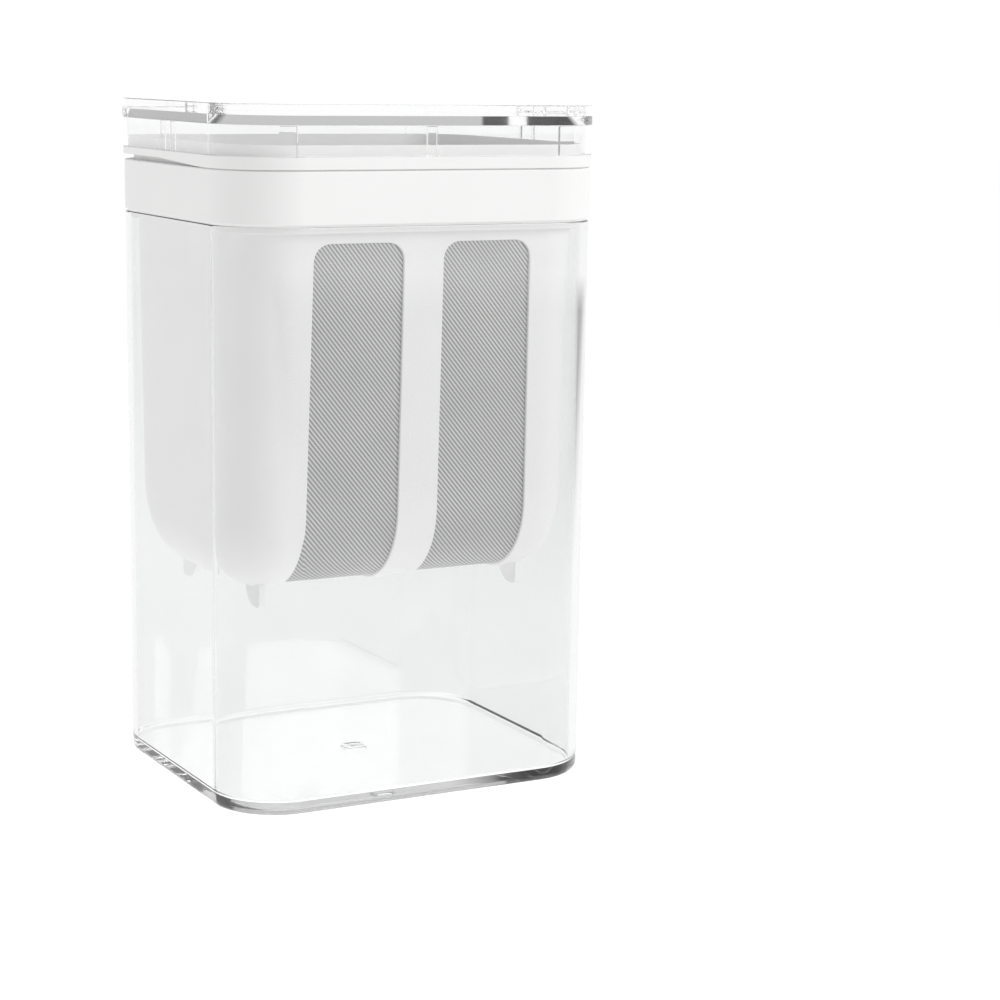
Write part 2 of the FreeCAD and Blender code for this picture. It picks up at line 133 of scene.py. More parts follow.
FOOT_REACH = 42.4    # x of each foot
FOOT_HALF = 1.0      # half its thickness
FOOT_INNER = 16.8    # y of its ends
FOOT_OUTER = 28.0
FOOT_TOP = 65.0      # inside the trough's wall
FOOT_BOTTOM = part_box("basket_frame")[0].z / MM
FOOT_CROWN = 1.6     # over 1 makes its sides flat, with rounded edges
FOOT_TAPER = 0.06    # how much smaller its outline is at its sides

# the materials, with their colours in linear light
CLEAR_BODY = (0.915, 0.92, 0.92)
CLEAR_LID = (0.955, 0.958, 0.958)
CLEAR_IOR = 1.57
CLEAR_HAZE = 0.02    # the most roughness
BODY_MURK = 3.6      # absorption per metre
LID_MURK = 0.15
WHITE = 0.88
WHITE_IOR = 1.49
FRAME_ROUGHNESS = 0.38
RING_ROUGHNESS = 0.36
# the cloth's ribs, varied at random and kept bright as painted light, and its valleys darkened as
# painted shade
WIRE_COLOURS = ((0.82, 0.82, 0.82), (0.74, 0.74, 0.745))
WIRE_VALLEY_SHADE = (0.30, 0.30, 0.30)
WIRE_GAP_SHADE = (0.6, 0.6, 0.6, 1)    # painted shade between single wires, which multiplies the colour there
SILICONE = ((0.80, 0.80, 0.79), (0.74, 0.74, 0.73))

# the camera, in metres and radians, set where the photographer stood
CAMERA_SPOT = Vector((-0.32242, -0.68381, 0.21529))
CAMERA_YAW = 0.5004
CAMERA_PITCH = 0.1751
CAMERA_ROLL = 0.0148
CAMERA_LENS = 89.53
CAMERA_SENSOR = 36

# The sky, by direction. A height is the z of a direction, and a pair is where a change starts and
# ends.
SKY_WHITE = (1.06, 1.06, 1.06)
SKY_FRONT = (0.42, 0.42, 0.42)
SKY_OVERHEAD = (0.55, 0.55, 0.55)
SKY_DARK = (0.02, 0.02, 0.02)
WHITE_TO_BEHIND = (0.2, 0.28)    # heights at which the white round the horizon ends behind
WHITE_TO_FRONT = (0.04, 0.1)     # and in front
TO_OVERHEAD = (0.42, 0.6)
DIM_SIDE = (-0.75, -0.66, 0)     # the way towards the middle of the dim front
TO_DIM_SIDE = (-0.1, 0.5)        # how far that way it sets in
FADE_BEHIND = (-0.20, 0.45)      # across the sky behind, from dark to white
DARK_PANEL = (0.472, 1.0)        # across the sky overhead
PANEL_GAP = (0.481, 0.487)

# the floor, in metres
FLOOR_SIZE = 8.0
FLOOR_GAP = 0.05 * MM            # between it and the object
FLOOR_COLOUR = (0.2, 0.2, 0.2, 1)
FLOOR_GLOW = (1.12, 0.90)        # emission under the object and away from it, the brighter glow under the object being a painted pool of light
GLOW_EDGE = ((HALF_Y - 2) * MM, (HALF_Y + 6) * MM)
RIGHT_OF_VIEW = (0.743, -0.669, 0)
SHADE_LOW = 0.4                  # painted shade: the floor's glow is dimmed to this, out of view on that side
TO_SHADE = (0.24, 0.55)          # distances that way
FAR_AWAY = (1.2, 1.8)            # distances all round at which it is bright again

# the lamps, in metres, as name, spot and watts
SOFTBOXES = (("softbox_right", (1.0, -1.2, 0.9), 13), ("softbox_left", (-1.3, 0.6, 0.8), 3))
SOFTBOX_SIZE = 1.2
SOFTBOX_AIM = (0, 0, 0.1)

BOUNCES = 48    # the thick clear edges pass light on inside many times, and go black with fewer
TRANSPARENT_BOUNCES = 24


# ---------------------------------------------------------------- node helpers

def new_material(name):
    """A material with a lone Principled shader, its tree, and that shader."""
    material = bpy.data.materials.new(name)
    material.use_nodes = True
    tree = material.node_tree
    return material, tree, tree.nodes["Principled BSDF"]


def add(tree, kind, **settings):
    """A node of a kind, with its properties and its inputs set by name."""
    node = tree.nodes.new(kind)
    for name, value in settings.items():
        if name in node.inputs:
            node.inputs[name].default_value = value
        else:
            setattr(node, name, value)
    return node


def position(tree):
    """The point of the surface in the object's own frame, in metres."""
    return add(tree, "ShaderNodeTexCoord").outputs["Object"]


def noise(tree, scale, detail=2.0):
    """A noise of a scale in features per metre."""
    node = add(tree, "ShaderNodeTexNoise", Scale=scale, Detail=detail)
    tree.links.new(position(tree), node.inputs["Vector"])
    return node.outputs["Fac"]


def spread(tree, value, low, high, start=0.3, end=0.7):
    """A value from start to end, mapped to a number from low to high."""
    node = add(tree, "ShaderNodeMapRange",
               **{"From Min": start, "From Max": end, "To Min": low, "To Max": high})
    tree.links.new(value, node.inputs["Value"])
    return node.outputs["Result"]


def arithmetic(tree, operation, first, second):
    """Two values through one operation. The second is a number or a node's output."""
    node = add(tree, "ShaderNodeMath", operation=operation)
    tree.links.new(first, node.inputs[0])
    if isinstance(second, float):
        node.inputs[1].default_value = second
    else:
        tree.links.new(second, node.inputs[1])
    return node.outputs[0]


def blend_colours(tree, value, first, second):
    """A colour between two, as a value goes from 0 to 1. Each is a tuple or a node's output."""
    node = add(tree, "ShaderNodeMix", data_type="RGBA")
    tree.links.new(value, node.inputs["Factor"])
    for name, colour in (("A", first), ("B", second)):
        if isinstance(colour, tuple):
            node.inputs[name].default_value = (*colour, 1)
        else:
            tree.links.new(colour, node.inputs[name])
    return node.outputs["Result"]


def wave(tree, value, repeat):
    """A wave from 0 to 1 that peaks each time a value grows by a repeat."""
    cosine = add(tree, "ShaderNodeMath", operation="COSINE")
    turns = arithmetic(tree, "MULTIPLY", value, 2 * math.pi / repeat)
    tree.links.new(turns, cosine.inputs[0])
    return spread(tree, cosine.outputs[0], 0.0, 1.0, -1.0, 1.0)


def within(tree, value, low, high):
    """1 where a value lies between two numbers, else 0."""
    node = add(tree, "ShaderNodeMath", operation="COMPARE")
    node.inputs[1].default_value = (low + high) / 2
    node.inputs[2].default_value = (high - low) / 2
    tree.links.new(value, node.inputs[0])
    return node.outputs[0]


def dot_product(tree, place, direction):
    """How far a place lies along a direction."""
    node = add(tree, "ShaderNodeVectorMath", operation="DOT_PRODUCT")
    node.inputs[1].default_value = direction
    tree.links.new(place, node.inputs[0])
    return node.outputs["Value"]


def parts_of(tree, place):
    """The X, Y and Z of a place."""
    axes = add(tree, "ShaderNodeSeparateXYZ")
    tree.links.new(place, axes.inputs[0])
    return axes.outputs["X"], axes.outputs["Y"], axes.outputs["Z"]


def raise_surface(tree, shader, height, distance):
    """Bump the shader by a height that goes from 0 to 1 over a distance."""
    bump = add(tree, "ShaderNodeBump", Distance=distance)
    tree.links.new(height, bump.inputs["Height"])
    tree.links.new(bump.outputs["Normal"], shader.inputs["Normal"])


# ---------------------------------------------------------------- materials

def clear_plastic(name, tint, murk):
    """Clear moulded plastic: faint flow marks, a little haze, and it lets lamps through.

    Murk is how much light it soaks up along the way, per metre, which shows in its thick edges.
    """
    material, tree, shader = new_material(name)
    cloudy = spread(tree, noise(tree, 60.0), 0.0, 1.0)
    dimmer = tuple(part * 0.985 for part in tint)
    colour = blend_colours(tree, cloudy, tint, dimmer)
    tree.links.new(colour, shader.inputs["Base Color"])
    haze = spread(tree, noise(tree, 90.0, 3.0), 0.0, CLEAR_HAZE)
    tree.links.new(haze, shader.inputs["Roughness"])
    shader.inputs["Transmission Weight"].default_value = 1.0
    shader.inputs["IOR"].default_value = CLEAR_IOR
    raise_surface(tree, shader, noise(tree, 25.0, 1.0), 0.02 * MM)
    path = add(tree, "ShaderNodeLightPath").outputs
    either = arithmetic(tree, "MAXIMUM", path["Is Shadow Ray"], path["Is Diffuse Ray"])
    lets_light = add(tree, "ShaderNodeBsdfTransparent", Color=(1, 1, 1, 1))
    mix = add(tree, "ShaderNodeMixShader")
    tree.links.new(either, mix.inputs[0])
    tree.links.new(shader.outputs[0], mix.inputs[1])
    tree.links.new(lets_light.outputs[0], mix.inputs[2])
    output = tree.nodes["Material Output"]
    tree.links.new(mix.outputs[0], output.inputs["Surface"])
    depth = add(tree, "ShaderNodeVolumeAbsorption", Color=(0, 0, 0, 1), Density=murk)
    tree.links.new(depth.outputs[0], output.inputs["Volume"])
    return material


def white_plastic(name, roughness):
    """White moulded plastic with a satin grain and faint cloudiness."""
    material, tree, shader = new_material(name)
    bright = (WHITE, WHITE, WHITE * 0.995)
    dull = (WHITE * 0.985, WHITE * 0.985, WHITE * 0.98)
    colour = blend_colours(tree, spread(tree, noise(tree, 45.0, 3.0), 0.0, 1.0), bright, dull)
    tree.links.new(colour, shader.inputs["Base Color"])
    satin = spread(tree, noise(tree, 900.0, 3.0), roughness - 0.05, roughness + 0.07)
    tree.links.new(satin, shader.inputs["Roughness"])
    shader.inputs["IOR"].default_value = WHITE_IOR
    raise_surface(tree, shader, noise(tree, 2500.0, 2.0), 0.012 * MM)
    return material


def steel_mesh(name):
    """Fine twilled wire cloth: ribs with painted light, painted shade in the valleys between them,
    and painted shade between single wires close up.

    The cloth's own attribute gives how many wires across and down each point is.
    """
    material, tree, shader = new_material(name)
    threads = add(tree, "ShaderNodeAttribute", attribute_name="weave")
    across, down, _ = parts_of(tree, threads.outputs["Vector"])
    rib = wave(tree, arithmetic(tree, "SUBTRACT", across, down), TWILL_REPEAT)
    wires = arithmetic(tree, "MULTIPLY", wave(tree, across, 1), wave(tree, down, 1))
    light = blend_colours(tree, spread(tree, noise(tree, 55.0, 3.0), 0.0, 1.0), *WIRE_COLOURS)
    # painted light on the ribs and painted shade in the valleys between them
    colour = blend_colours(tree, spread(tree, rib, 0.0, 1.0, 0.1, 0.9), WIRE_VALLEY_SHADE, light)
    # painted shade between single wires
    fine = add(tree, "ShaderNodeMix", data_type="RGBA", blend_type="MULTIPLY")
    tree.links.new(spread(tree, wires, 0.35, 0.0, 0.0, 1.0), fine.inputs["Factor"])
    tree.links.new(colour, fine.inputs["A"])
    fine.inputs["B"].default_value = WIRE_GAP_SHADE
    tree.links.new(fine.outputs["Result"], shader.inputs["Base Color"])
    tree.links.new(spread(tree, noise(tree, 700.0), 0.38, 0.5), shader.inputs["Roughness"])
    shader.inputs["Metallic"].default_value = 0.25
    raise_surface(tree, shader, wires, 0.05 * MM)
    return material


def silicone(name):
    """Milky silicone rubber with a matt skin."""
    material, tree, shader = new_material(name)
    colour = blend_colours(tree, spread(tree, noise(tree, 120.0), 0.0, 1.0), *SILICONE)
    tree.links.new(colour, shader.inputs["Base Color"])
    tree.links.new(spread(tree, noise(tree, 1500.0), 0.45, 0.62), shader.inputs["Roughness"])
    raise_surface(tree, shader, noise(tree, 1800.0), 0.01 * MM)
    return material


# ---------------------------------------------------------------- mesh helpers

def soften(corners, closed=False):
    """A profile of (inset, height, radius) corners, with each radius drawn as an arc."""
    spots = [Vector(corner[:2]) for corner in corners]
    count = len(corners)
    path = []
    for index, (spot, (_, _, radius)) in enumerate(zip(spots, corners)):
        if not radius or (not closed and index in (0, count - 1)):
            path.append(spot)
            continue
        to_before = (spots[index - 1] - spot).normalized()
        to_after = (spots[(index + 1) % count] - spot).normalized()
        half_angle = to_before.angle(to_after) / 2
        centre = spot + (to_before + to_after).normalized() * (radius / math.sin(half_angle))
        start = spot + to_before * (radius / math.tan(half_angle)) - centre
        sweep = (math.pi - 2 * half_angle) * math.copysign(1, to_after.cross(to_before))
        for step in range(EDGE_STEPS + 1):
            turn = Matrix.Rotation(sweep * step / EDGE_STEPS, 2)
            path.append(centre + turn @ start)
    return path


def plan(inset, height):
    """The container's rounded plan brought in by an inset, anticlockwise from its right side."""
    radius = CORNER - inset
    ring = []
    for corner, (side_x, side_y) in enumerate(((1, 1), (-1, 1), (-1, -1), (1, -1))):
        centre = Vector((side_x * (HALF_X - CORNER), side_y * (HALF_Y - CORNER), height))
        for step in range(CORNER_STEPS + 1):
            angle = (corner + step / CORNER_STEPS) * math.pi / 2
            ring.append(centre + Vector((math.cos(angle), math.sin(angle), 0)) * radius)
    return ring


def disc(radius, height):
    """A circle round the middle with a point for each point of the plan."""
    rays = [Vector((spot.x, spot.y, 0)).normalized() for spot in plan(0, 0)]
    return [ray * radius + Vector((0, 0, height)) for ray in rays]


def loft(rings, closed=False):
    """Points and faces through rings of points. An open loft is capped at both ends."""
    size = len(rings[0])
    points = [spot for ring in rings for spot in ring]
    faces = []
    for level in range(len(rings) if closed else len(rings) - 1):
        low, high = level * size, (level + 1) % len(rings) * size
        for index in range(size):
            after = (index + 1) % size
            faces.append((low + index, low + after, high + after, high + index))
    if not closed:
        faces.append(tuple(range(size))[::-1])
        faces.append(tuple(range(len(points) - size, len(points))))
    return points, faces


def merged(*parts):
    """Several lots of points and faces as one."""
    points, faces = [], []
    for more_points, more_faces in parts:
        offset = len(points)
        points += more_points
        faces += [tuple(offset + index for index in face) for face in more_faces]
    return points, faces


def make_piece(name, shape, material, weld=0.0005):
    """A smooth mesh from points in millimetres, in the object's frame."""
    points, faces = shape
    mesh = bpy.data.meshes.new(name)
    mesh.from_pydata([spot * MM for spot in points], [], faces)
    build = bmesh.new()
    build.from_mesh(mesh)
    if weld:
        bmesh.ops.remove_doubles(build, verts=build.verts, dist=weld * MM)
    bmesh.ops.recalc_face_normals(build, faces=build.faces)
    build.to_mesh(mesh)
    build.free()
    mesh.materials.append(material)
    mesh.shade_smooth()
    mesh.set_sharp_from_angle(angle=SMOOTH_ANGLE)
    piece = bpy.data.objects.new(name, mesh)
    bpy.context.scene.collection.objects.link(piece)
    return piece


def even_shading(piece):
    """Keep flat faces flat between their softened edges."""
    weighted = piece.modifiers.new("even_shading", "WEIGHTED_NORMAL")
    weighted.keep_sharp = True
    weighted.weight = 100


def slab(centre, half, material):
    """A small block with softened edges, to be welded onto a piece."""
    mesh = bpy.data.meshes.new("slab")
    build = bmesh.new()
    bmesh.ops.create_cube(build, size=2)
    for vertex in build.verts:
        vertex.co = Vector(part * size for part, size in zip(vertex.co, half)) + centre
        vertex.co *= MM
    bmesh.ops.bevel(build, geom=build.edges[:], offset=SLAB_EDGE * MM, segments=2,
                    affect="EDGES", profile=0.5)
    build.to_mesh(mesh)
    build.free()
    mesh.materials.append(material)
    block = bpy.data.objects.new("slab", mesh)
    bpy.context.scene.collection.objects.link(block)
    return block


def weld_on(piece, block):
    """Unite a piece with a block, and take the block away."""
    union = piece.modifiers.new("weld", "BOOLEAN")
    union.operation = "UNION"
    union.solver = "EXACT"
    union.object = block
    seen = piece.evaluated_get(bpy.context.evaluated_depsgraph_get())
    piece.data = bpy.data.meshes.new_from_object(seen)
    piece.modifiers.clear()
    bpy.data.objects.remove(block)


def shade_again(piece):
    """Smooth shading again after welding, with the crisp edges kept."""
    piece.data.shade_smooth()
    piece.data.set_sharp_from_angle(angle=SMOOTH_ANGLE)
    even_shading(piece)


# ---------------------------------------------------------------- clear pieces

def make_container(material):
    """The clear tub, from the gate dimple under its floor round to the gate's mark inside."""
    profile = soften([(BASE_INSET + 4, 0, 0), (BASE_INSET, 0, 2.0), (0, RIM, 0.5),
                      (WALL, RIM, 0.4), (FLOOR_INSET, FLOOR, 1.5), (FLOOR_INSET + 6, FLOOR, 0)])
    rings = [disc(GATE - 0.4, GATE_DEPTH), disc(GATE - 0.1, GATE_DEPTH - 0.1),
             disc(GATE, 0.2), disc(GATE + 0.1, 0)]
    rings += [plan(inset, height) for inset, height in profile]
    rings += [disc(radius, FLOOR + rise) for radius, rise in
              ((GATE + 0.7, 0), (GATE + 0.1, 0.09), (GATE - 0.4, 0.09), (GATE - 1.0, 0),
               (1.5, 0), (1.0, 0.08), (0.5, GATE_MARK))]
    piece = make_piece("container_shell", loft(rings), material)
    even_shading(piece)
    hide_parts("container")
    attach(piece, "container")


def make_cover(material):
    """The clear cover: a thick plate, a skirt, the bevel that joins them, and short stays."""
    under = COVER_TOP - PLATE
    profile = soften([(SKIRT_INNER + HAUNCH + 4, under, 0), (SKIRT_INNER + HAUNCH, under, 0.3),
                      (SKIRT_INNER, under - HAUNCH, 0.3), (SKIRT_INNER, SKIRT_BOTTOM, 0.15),
                      (COVER_INSET, SKIRT_BOTTOM, 0.15), (COVER_INSET, COVER_TOP, 0.35),
                      (COVER_INSET + 4, COVER_TOP, 0)])
    piece = make_piece("cover_shell", loft([plan(*spot) for spot in profile]), material)
    stays = [(x, side * (HALF_Y - STAY_INSET), half, STAY_THICK) for side in (-1, 1)
             for x, half in STAYS_LONG]
    stays += [(side * (HALF_X - STAY_INSET), y, STAY_THICK, STAY_HALF) for side in (-1, 1)
              for y in STAYS_SHORT]
    for x, y, half_x, half_y in stays:
        centre = Vector((x, y, (SKIRT_BOTTOM + STAY_TOP) / 2))
        half = Vector((half_x, half_y, (STAY_TOP - SKIRT_BOTTOM) / 2))
        weld_on(piece, slab(centre, half, material))
    shade_again(piece)
    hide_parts("lid_cover")
    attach(piece, "lid")


# ---------------------------------------------------------------- the basket

class Trough:
    """The basket's U-shaped section, walked from the front of its mouth round to the back."""

    def __init__(self):
        top, reach = LEDGE, HALF_Y - BASKET_INSET
        lean = Vector((reach - TROUGH_FOOT, top - BASKET_BOTTOM))
        self.slope = lean.normalized()    # up the back wall, as (y, z)
        corner = Vector((TROUGH_FOOT, BASKET_BOTTOM))
        half_angle = (math.pi - math.atan2(self.slope.y, self.slope.x)) / 2
        cut = TROUGH_RADIUS / math.tan(half_angle)
        self.sweep = math.pi - 2 * half_angle
        self.centre = Vector((corner.x - cut, BASKET_BOTTOM + TROUGH_RADIUS))
        self.shoulder = corner + self.slope * cut    # where the back wall starts to turn
        mouth = self.shoulder + self.slope * ((MOUTH - self.shoulder.y) / self.slope.y)
        self.wall = (mouth - self.shoulder).length
        self.arc = TROUGH_RADIUS * self.sweep
        self.flat = self.centre.x    # half the flat bottom
        self.half = self.wall + self.arc + self.flat
        self.length = 2 * self.half

    def station(self, height):
        """How far from the mouth a height on the front wall lies."""
        return (MOUTH - height) / self.slope.y

    def at(self, along, x, depth=0.0):
        """The point at a distance from the front of the mouth, at x, a depth inside the skin."""
        front = along <= self.half
        far = along if front else self.length - along
        if far <= self.wall:
            spot = self.shoulder + self.slope * (self.wall - far)
            inward = Vector((-self.slope.y, self.slope.x))
        elif far <= self.wall + self.arc:
            angle = self.sweep * (1 - (far - self.wall) / self.arc) - math.pi / 2
            inward = -Vector((math.cos(angle), math.sin(angle)))
            spot = self.centre - inward * TROUGH_RADIUS
        else:
            spot = Vector((self.half - far, BASKET_BOTTOM))
            inward = Vector((0, 1))
        spot = spot + inward * depth
        return Vector((x, -spot.x if front else spot.x, spot.y))

    def reach(self, along):
        """How far from the middle a window's outer edge lies there."""
        return WINDOW_REACH + (WINDOW_TOP - self.at(along, 0).z) * WINDOW_SPREAD


TROUGH = Trough()


def spaced(start, end, pitch):
    """Numbers from start up to, but not with, end, about a pitch apart."""
    count = max(1, round(abs(end - start) / pitch))
    return [start + (end - start) * index / count for index in range(count)]


def quarter_steps(radius):
    """Distances from a corner's edge at which its rounding has points."""
    return [radius * (1 - math.cos(math.pi / 2 * step / WINDOW_STEPS))
            for step in range(WINDOW_STEPS + 1)]


def basket_rows(grow):
    """Distances from the mouth of the skin's rows, and the index of the windows' top row."""
    top = TROUGH.station(WINDOW_TOP + grow)
    before = spaced(0, top, ROWS_ABOVE)
    window = [top + step for step in quarter_steps(WINDOW_CORNER + grow)]
    wall = spaced(window[-1], TROUGH.wall, ROWS_WALL)[1:]
    turn = spaced(TROUGH.wall, TROUGH.wall + TROUGH.arc, ROWS_TURN)
    flat = spaced(TROUGH.wall + TROUGH.arc, TROUGH.half, ROWS_FLAT)
    front = before + window + wall + turn + flat
    return front + [TROUGH.length - along for along in reversed(front)], len(before)


def window_columns(grow, along):
    """The x of the window's columns on one row, from its rib side to its outer side."""
    low, high = WINDOW_RIB - grow, TROUGH.reach(along) + grow
    steps = quarter_steps(WINDOW_CORNER + grow)
    start, end = low + steps[-1], high - steps[-1]
    middle = [start + (end - start) * part / WINDOW_MIDDLE for part in range(1, WINDOW_MIDDLE)]
    return [low + step for step in steps] + middle + [high - step for step in reversed(steps)]


def skin_columns(grow, depth, along):
    """(x, depth) across one row of the skin, from the left end wall to the right one."""
    flat = HALF_X - BASKET_INSET - END_RADIUS
    radius = END_RADIUS - depth
    columns = [(x, depth) for x in (0.0, *window_columns(grow, along))]
    for step in range(END_STEPS + 1):
        angle = math.pi / 2 * step / END_STEPS
        columns.append((flat + radius * math.sin(angle), END_RADIUS - radius * math.cos(angle)))
    return [(-x, inside) for x, inside in reversed(columns[1:])] + columns


def in_window(row, column, rows, top, columns, middle):
    """How much of a cell belongs to the skin: "all", "none", or the half in a "corner"."""
    first, last = middle + 1, middle + columns
    if column < middle:
        column = 2 * middle - 1 - column
    if not first <= column < last:
        return "all"
    row = min(row, rows - 2 - row)
    if row < top:
        return "all"
    across = min(column - first, last - 1 - column)
    depth_in = row - top + across
    if row - top >= WINDOW_STEPS or across >= WINDOW_STEPS or depth_in >= WINDOW_STEPS:
        return "none"
    return "corner" if depth_in == WINDOW_STEPS - 1 else "all"


def skin(grow, depth):
    """One skin of the trough, with its windows open and its end walls closed."""
    stations, top = basket_rows(grow)
    rows = [[TROUGH.at(along, x, inside) for x, inside in skin_columns(grow, depth, along)]
            for along in stations]
    width = len(rows[0])
    middle = width // 2
    columns = len(window_columns(grow, 0))
    points = [spot for row in rows for spot in row]
    faces = []
    for row in range(len(rows) - 1):
        for column in range(width - 1):
            cell = (row * width + column, row * width + column + 1,
                    (row + 1) * width + column + 1, (row + 1) * width + column)
            kept = in_window(row, column, len(rows), top, columns, middle)
            if kept == "all":
                faces.append(cell)
            elif kept == "corner":
                far_row = row >= len(rows) // 2
                right = column >= middle
                reached = column - middle if right else middle - 1 - column
                outer = reached > columns // 2
                far_column = outer == right
                drop = {(False, False): 2, (False, True): 3, (True, False): 1, (True, True): 0}
                spare = drop[far_row, far_column]
                faces.append(tuple(cell[index] for index in range(4) if index != spare))
    turned = stations.index(TROUGH.wall + TROUGH.arc)    # the row where the flat bottom starts
    for column in (0, width - 1):
        for row in range(turned - 1):
            mirrored = len(rows) - 1 - row
            ends = (row, row + 1, mirrored - 1, mirrored)
            faces.append(tuple(line * width + column for line in ends))
        ends = range(turned - 1, len(rows) - turned + 1)
        faces.append(tuple(line * width + column for line in ends))
    return points, faces


def window_loop(side, grow, depth):
    """The points round a window's edge, grown by a margin, at a depth in the wall."""
    stations, top = basket_rows(grow)
    last = len(stations) - 1 - top
    width = len(window_columns(grow, 0))
    steps = WINDOW_STEPS
    path = [(top, column) for column in range(steps, width - steps)]
    path += [(top + step, width - 1 - steps + step) for step in range(1, steps + 1)]
    path += [(row, width - 1) for row in range(top + steps + 1, last - steps)]
    path += [(last - steps + step, width - 1 - step) for step in range(steps + 1)]
    path += [(last, column) for column in range(width - 2 - steps, steps, -1)]
    path += [(last - step, steps - step) for step in range(steps + 1)]
    path += [(row, 0) for row in range(last - steps - 1, top + steps, -1)]
    path += [(top + steps - step, step) for step in range(steps)]
    return [TROUGH.at(stations[row], side * window_columns(grow, stations[row])[column], depth)
            for row, column in path]


def window_edges(side):
    """The rounded edge between the two skins round one window."""
    loops = []
    for step in range(EDGE_STEPS + 1):
        angle = math.pi / 2 * step / EDGE_STEPS
        loops.append((WINDOW_EDGE * (1 - math.sin(angle)), WINDOW_EDGE * (1 - math.cos(angle))))
    loops += [(grow, BASKET_WALL - depth) for grow, depth in reversed(loops)]
    points, faces = loft([window_loop(side, *loop) for loop in loops])
    return points, faces[:-2]


def mouth_edge():
    """The rounded edge that joins the two skins round the trough's mouth."""
    bead = BASKET_WALL / 2
    rings = []
    for step in range(2 * EDGE_STEPS + 1):
        angle = math.pi * step / (2 * EDGE_STEPS)
        depth, rise = bead - bead * math.cos(angle), MOUTH_BEAD * math.sin(angle)
        front = [TROUGH.at(0, x, inside) for x, inside in skin_columns(WINDOW_EDGE, depth, 0)]
        back = [Vector((spot.x, -spot.y, spot.z)) for spot in reversed(front)]
        rings.append([spot + Vector((0, 0, rise)) for spot in front + back])
    points, faces = loft(rings)
    return points, faces[:-2]


def collar():
    """The band that hangs the basket from the container's rim and carries the lid."""
    profile = soften([(LEDGE_INSET, SPIGOT_BOTTOM, 0), (SPIGOT_INSET, SPIGOT_BOTTOM, 0.4),
                      (SPIGOT_INSET, RIM, 0), (COLLAR_SEAT, RIM, 0),
                      (COLLAR_SEAT, COLLAR_BOTTOM, 0.2), (COLLAR_INSET, COLLAR_BOTTOM, 0.25),
                      (COLLAR_INSET, COLLAR_TOP, 0.4), (COLLAR_INNER, COLLAR_TOP, 0.4),
                      (COLLAR_INNER, LEDGE, 0.8), (LEDGE_INSET, LEDGE, 0)], closed=True)
    return loft([plan(*spot) for spot in profile], closed=True)


def foot(side_x, side_y):
    """A thin fin with a tight outer corner and a long curved inner one."""
    outline = soften([(FOOT_INNER, FOOT_TOP, 0), (FOOT_INNER, FOOT_BOTTOM, 7.0),
                      (FOOT_OUTER, FOOT_BOTTOM, 2.0), (FOOT_OUTER, FOOT_TOP, 0)])
    centre = sum(outline, Vector((0, 0))) / len(outline)
    rings = []
    for step in range(2 * EDGE_STEPS + 1):
        turned = math.sin(math.pi * (step / (2 * EDGE_STEPS) - 0.5))
        across = math.copysign(min(1.0, abs(turned) * FOOT_CROWN), turned) * FOOT_HALF
        shrink = 1 - FOOT_TAPER * abs(turned) ** 4
        rings.append([Vector((side_x * FOOT_REACH + across,
                              side_y * (centre.x + (spot.x - centre.x) * shrink),
                              centre.y + (spot.y - centre.y) * shrink)) for spot in outline])
    return loft(rings)


def make_basket(material):
    """The white basket: a trough with two windows, its collar and its four feet."""
    parts = [skin(WINDOW_EDGE, 0.0), skin(WINDOW_EDGE, BASKET_WALL), mouth_edge()]
    parts += [window_edges(side) for side in (-1, 1)]
    piece = make_piece("basket_shell", merged(*parts), material, weld=0.002)
    feet = [foot(side_x, side_y) for side_x in (-1, 1) for side_y in (-1, 1)]
    for shape in (collar(), *feet):
        weld_on(piece, make_piece("addition", shape, material))
    shade_again(piece)
    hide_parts("basket_frame")
    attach(piece, "basket")


def make_filter(side, material):
    """A strip of twilled wire cloth, down the front, under the bottom and up the back.

    Its margins run on inside the frame's wall, as they do where a frame is moulded round a cloth.
    """
    start = TROUGH.station(WINDOW_TOP + MESH_MARGIN)
    rows = round((TROUGH.length - 2 * start) / TWILL_S)
    columns = round((WINDOW_REACH - WINDOW_RIB + 2 * MESH_MARGIN) / TWILL_X)
    points, weave = [], []
    for skin_side in (-1, 1):
        for row in range(rows + 1):
            along = start + (TROUGH.length - 2 * start) * row / rows
            low, high = WINDOW_RIB - MESH_MARGIN, TROUGH.reach(along) + MESH_MARGIN
            for column in range(columns + 1):
                place = column if side > 0 else columns - column
                phase = 2 * math.pi * (place - row) / TWILL_REPEAT
                depth = MESH_DEPTH + skin_side * MESH_HALF - TWILL_RELIEF / 2 * math.cos(phase)
                x = side * (low + (high - low) * column / columns)
                points.append(TROUGH.at(along, x, depth))
                weave.append((place, row, 0))
    width = columns + 1
    back = (rows + 1) * width
    faces = []
    for row in range(rows):
        for column in range(columns):
            corner = row * width + column
            faces.append((corner, corner + 1, corner + width + 1, corner + width))
            faces.append(tuple(back + index for index in faces[-1][::-1]))
    rim = list(range(width))
    rim += [row * width + columns for row in range(1, rows + 1)]
    rim += [rows * width + column for column in range(columns - 1, -1, -1)]
    rim += [row * width for row in range(rows - 1, 0, -1)]
    for index, here in enumerate(rim):
        after = rim[(index + 1) % len(rim)]
        faces.append((after, here, back + here, back + after))
    name = "left" if side < 0 else "right"
    piece = make_piece(f"filter_mesh_{name}", (points, faces), material, weld=0)
    threads = piece.data.attributes.new("weave", "FLOAT_VECTOR", "POINT")
    threads.data.foreach_set("vector", [part for spot in weave for part in spot])
    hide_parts(f"filter_strip_{name}")
    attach(piece, "basket")


def cover_node(node, material):
    """Give a CAD node its finished material."""
    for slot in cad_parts[node].material_slots:
        slot.material = material


# ---------------------------------------------------------------- studio

